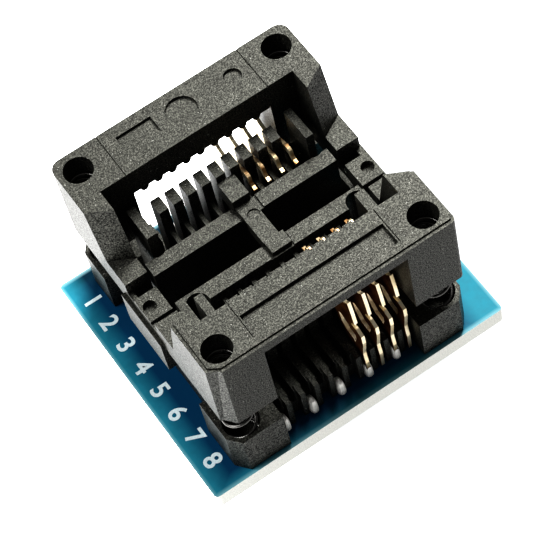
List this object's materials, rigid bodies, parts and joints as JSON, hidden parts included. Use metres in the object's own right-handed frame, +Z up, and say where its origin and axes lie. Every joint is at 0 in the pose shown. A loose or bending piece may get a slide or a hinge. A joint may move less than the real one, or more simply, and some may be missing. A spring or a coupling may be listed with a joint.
{
  "type": "ic programming adapter",
  "caption": "Open-top push-down test socket on a small circuit board with two pin strips below, which adapts a flat chip to a wider pin socket.",
  "frame": {"origin": "middle of the board in plan, at the ends of the header pins", "axes": "+X along the long bars and contact rows, towards the end that holds the contacts; +Y away from the bar with the long panel; +Z up out of the socket's mouth"},
  "size_m": [0.0266, 0.0234, 0.0224],
  "materials": {
    "black_plastic": "matt moulded, fine grain",
    "board_blue": "solder mask over glass laminate, pale cut edge",
    "gilt": "thin gilt plating",
    "spring_steel": "bright drawn wire",
    "solder": "bright solder"
  },
  "bodies": {
    "base": {"pcb": "board_blue", "header_strip_near": "black_plastic", "header_strip_far": "black_plastic", "header_pin_near_1": "gilt", "header_pin_near_2": "gilt", "header_pin_near_3": "gilt", "header_pin_near_4": "gilt", "header_pin_far_1": "gilt", "header_pin_far_2": "gilt", "header_pin_far_3": "gilt", "header_pin_far_4": "gilt", "socket_base": "black_plastic", "spring_front_left": "spring_steel", "spring_front_right": "spring_steel", "spring_back_left": "spring_steel", "spring_back_right": "spring_steel", "contact_near_1": "gilt", "contact_near_2": "gilt", "contact_near_3": "gilt", "contact_near_4": "gilt", "contact_far_1": "gilt", "contact_far_2": "gilt", "contact_far_3": "gilt", "contact_far_4": "gilt", "solder_near_1": "solder", "solder_near_2": "solder", "solder_near_3": "solder", "solder_near_4": "solder", "solder_near_5": "solder", "solder_far_1": "solder", "solder_far_2": "solder", "solder_far_3": "solder", "solder_far_4": "solder", "solder_far_5": "solder", "device_locator": "black_plastic"},
    "cover": {"cover": "black_plastic"}
  },
  "joints": [
    {"name": "cover_press", "type": "slide", "parent": "base", "child": "cover", "axis": [0, 0, -1], "range_m": [0, 0.003], "stiffness_N_per_m": 1500, "springref_m": -0.002, "deforming": ["spring_front_left", "spring_front_right", "spring_back_left", "spring_back_right"]}
  ]
}
